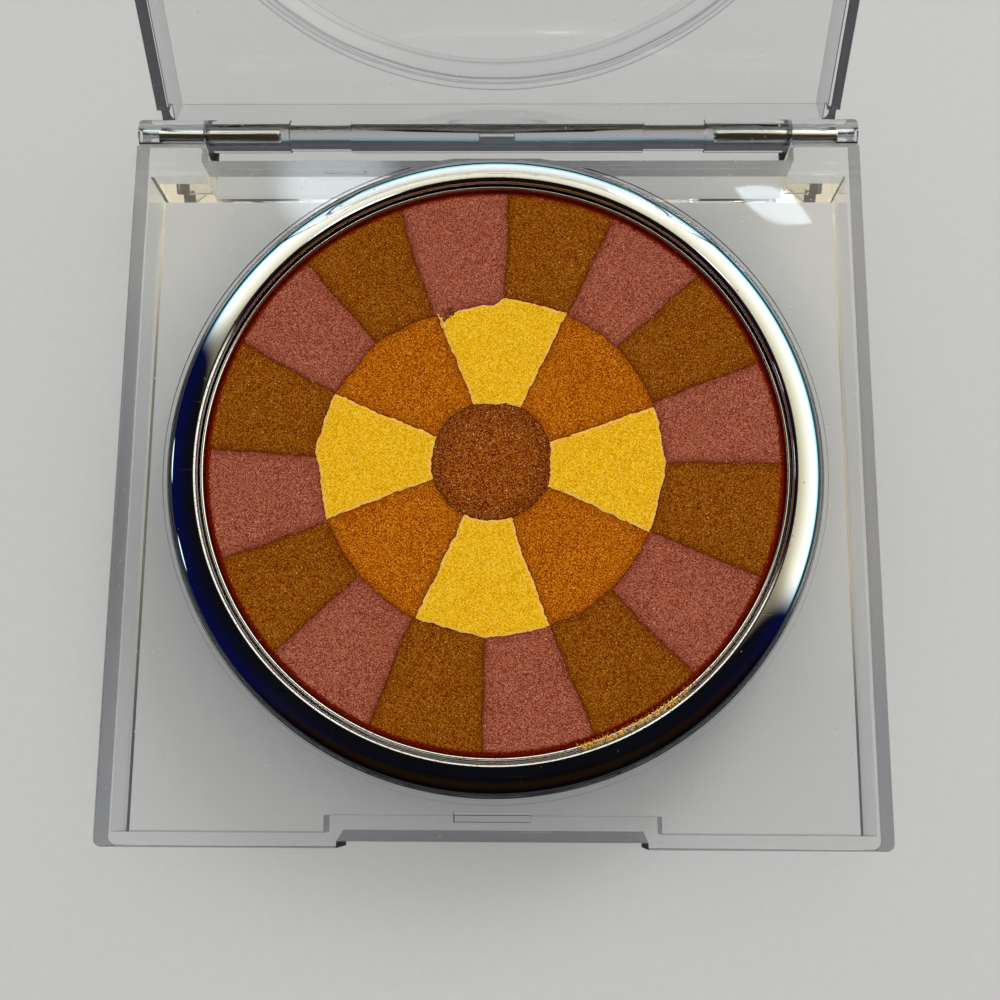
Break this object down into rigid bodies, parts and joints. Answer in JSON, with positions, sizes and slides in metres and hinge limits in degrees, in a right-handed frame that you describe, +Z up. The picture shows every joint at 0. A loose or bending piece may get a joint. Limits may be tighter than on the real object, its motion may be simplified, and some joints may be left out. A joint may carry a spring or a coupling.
{
  "type": "eyeshadow palette",
  "caption": "Square clear compact with a hinged lid and raised round window; a chrome bezel frames a metal pan of pressed powder shades in a wheel.",
  "frame": {"origin": "centre of the base's underside, in the plane of the table", "axes": "+Z up, -Y to the front where the compact opens, +Y to the hinge, X along the hinge"},
  "size_m": [0.077, 0.1218, 0.0682],
  "materials": {
    "clear_plastic": "polished, water clear",
    "pin_steel": "drawn and polished",
    "bezel_chrome": "mirror-bright metallised plastic",
    "pan_metal": "bright, drawn",
    "pad_foam": "white adhesive foam",
    "powder_brown": "pressed powder, fine shimmer",
    "powder_yellow": "pressed powder, fine shimmer",
    "powder_orange": "pressed powder, fine shimmer",
    "powder_mauve": "pressed powder, fine shimmer",
    "powder_olive": "pressed powder, fine shimmer"
  },
  "bodies": {
    "base": {"base_case": "clear_plastic", "hinge_pin_left": "pin_steel", "hinge_pin_right": "pin_steel", "chrome_bezel": "bezel_chrome", "pan": "pan_metal", "pan_adhesive": "pad_foam", "powder_center": "powder_brown", "powder_inner_1": "powder_yellow", "powder_inner_2": "powder_orange", "powder_inner_3": "powder_yellow", "powder_inner_4": "powder_orange", "powder_inner_5": "powder_yellow", "powder_inner_6": "powder_orange", "powder_inner_7": "powder_yellow", "powder_inner_8": "powder_orange", "powder_outer_1": "powder_mauve", "powder_outer_2": "powder_olive", "powder_outer_3": "powder_mauve", "powder_outer_4": "powder_olive", "powder_outer_5": "powder_mauve", "powder_outer_6": "powder_olive", "powder_outer_7": "powder_mauve", "powder_outer_8": "powder_olive", "powder_outer_9": "powder_mauve", "powder_outer_10": "powder_olive", "powder_outer_11": "powder_mauve", "powder_outer_12": "powder_olive", "powder_outer_13": "powder_mauve", "powder_outer_14": "powder_olive", "powder_outer_15": "powder_mauve", "powder_outer_16": "powder_olive"},
    "lid": {"lid": "clear_plastic"}
  },
  "joints": [
    {"name": "lid_hinge", "type": "hinge", "parent": "base", "child": "lid", "pos_m": [0, 0.0365, 0.00645], "axis": [1, 0, 0], "range_deg": [0, 122.7]}
  ]
}
